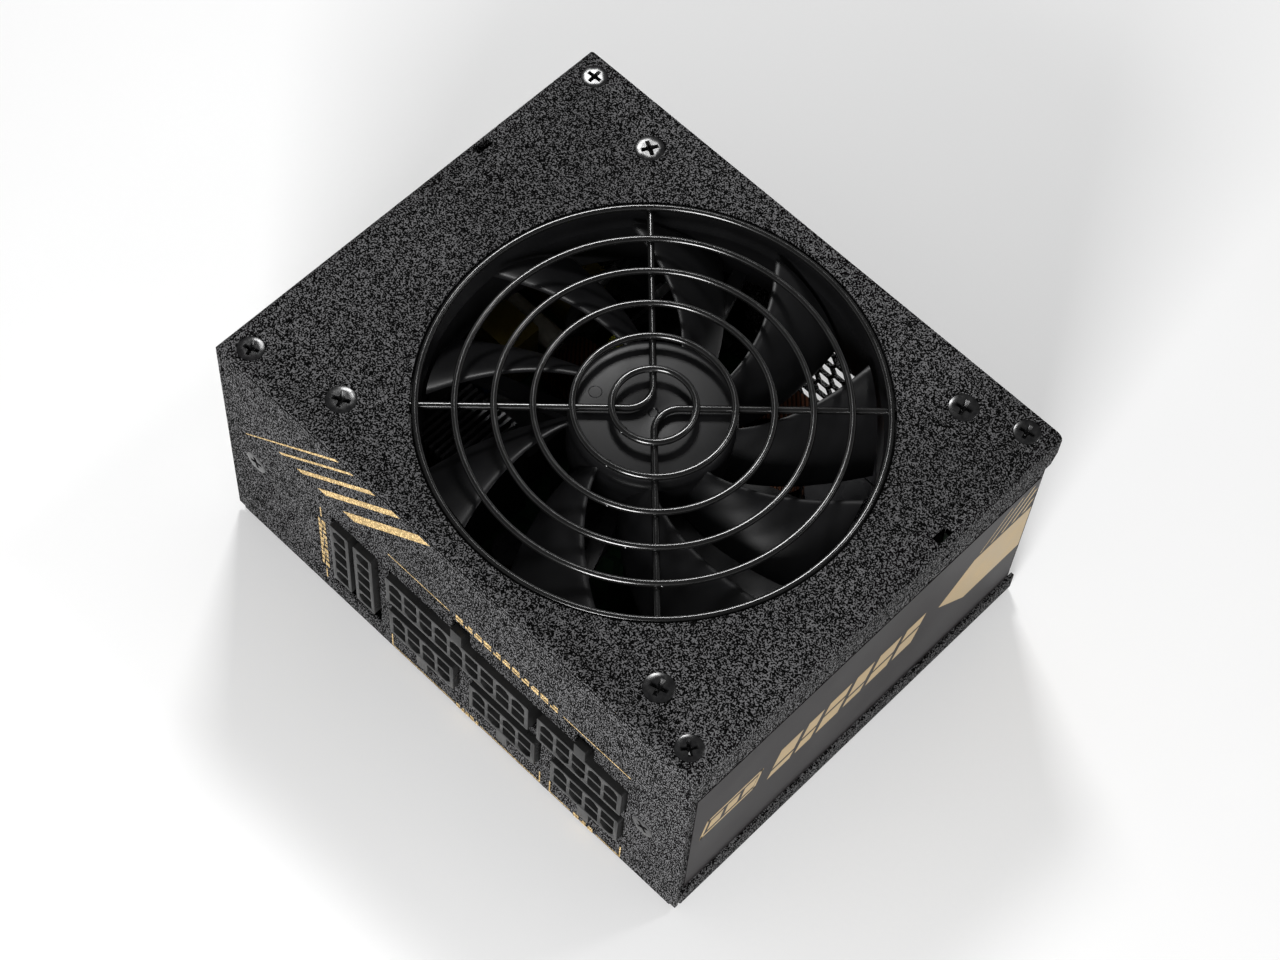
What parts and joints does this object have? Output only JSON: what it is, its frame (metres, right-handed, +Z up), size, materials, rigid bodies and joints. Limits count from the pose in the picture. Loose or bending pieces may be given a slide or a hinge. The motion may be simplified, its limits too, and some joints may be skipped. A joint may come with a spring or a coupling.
{
  "type": "power supply unit",
  "caption": "Small-form-factor modular computer power supply in a steel box, with a round fan behind a wire guard, cable sockets on one side and a mains inlet on the other.",
  "frame": {"origin": "centre of the bottom face of the steel box", "axes": "+X towards the printed side panel, +Y towards the mains inlet, +Z up through the fan"},
  "size_m": [0.125, 0.1046, 0.0635],
  "materials": {
    "powder_coat": "textured matt powder coat",
    "label_film": "satin printed film",
    "black_screw": "black zinc",
    "guard_wire": "gloss black",
    "fan_plastic": "satin moulded black",
    "plated_steel": "plated",
    "magnet": "matt",
    "bearing_bronze": "sintered bronze",
    "laminations": "stacked laminations",
    "enamelled_copper": "enamelled copper wire",
    "board_green": "solder mask",
    "socket_plastic": "moulded black",
    "tinned_pins": "plated",
    "copper": "tinned copper",
    "clear_film": "film",
    "heatsink_aluminium": "extruded",
    "package_black": "moulded epoxy",
    "can_sleeve": "sleeved can",
    "ferrite": "sintered",
    "winding_tape": "tape",
    "film_capacitor": "moulded",
    "disc_blue": "dipped",
    "fuse_sleeve": "ceramic",
    "wire_black": "insulation",
    "wire_green": "green and yellow insulation",
    "header_white": "nylon"
  },
  "bodies": {
    "housing": {"base_screws": "black_screw", "base_tray": "powder_coat", "bearing_sleeve": "bearing_bronze", "board_screws": "plated_steel", "board_standoffs": "tinned_pins", "bulk_capacitor": "can_sleeve", "bus_bars": "copper", "bypass_relay": "package_black", "choke_cores": "ferrite", "choke_windings": "enamelled_copper", "converter_board": "board_green", "cover_screws": "black_screw", "earth_lead": "wire_green", "fan_circuit_board": "board_green", "fan_frame": "fan_plastic", "fan_guard": "guard_wire", "fan_header": "header_white", "fan_lead": "wire_black", "fan_plug": "header_white", "fan_screws": "black_screw", "inlet_blades": "plated_steel", "inlet_housing": "socket_plastic", "inlet_screws_and_nuts": "plated_steel", "inrush_thermistor": "disc_blue", "insulating_film": "clear_film", "main_circuit_board": "board_green", "mains_fuse": "fuse_sleeve", "mains_leads": "wire_black", "modular_board": "board_green", "output_capacitors": "can_sleeve", "panel_screws": "black_screw", "power_transistors": "package_black", "primary_heatsink": "heatsink_aluminium", "rating_label": "label_film", "rear_frame": "powder_coat", "secondary_heatsink": "heatsink_aluminium", "side_label": "label_film", "socket_10_pin": "socket_plastic", "socket_18_pin": "socket_plastic", "socket_5_pin_1": "socket_plastic", "socket_5_pin_2": "socket_plastic", "socket_8_pin_1": "socket_plastic", "socket_8_pin_2": "socket_plastic", "socket_8_pin_3": "socket_plastic", "socket_pins": "tinned_pins", "stator_coils": "enamelled_copper", "stator_core": "laminations", "switch_housing": "socket_plastic", "switch_terminals": "plated_steel", "top_cover": "powder_coat", "transformer_cores": "ferrite", "transformer_windings": "winding_tape", "x_capacitors": "film_capacitor", "y_capacitors": "disc_blue"},
    "fan_rotor": {"fan_impeller": "fan_plastic", "rotor_yoke": "plated_steel", "rotor_magnet": "magnet", "fan_shaft": "plated_steel"},
    "switch_rocker": {"switch_rocker": "socket_plastic"}
  },
  "joints": [
    {"name": "fan_spin", "type": "hinge", "parent": "housing", "child": "fan_rotor", "pos_m": [0.004, 0, 0.055], "axis": [0, 0, 1], "continuous": true},
    {"name": "power_switch", "type": "hinge", "parent": "housing", "child": "switch_rocker", "pos_m": [-0.028, 0.048, 0.0382], "axis": [0, 0, 1], "range_deg": [0, 20]}
  ]
}
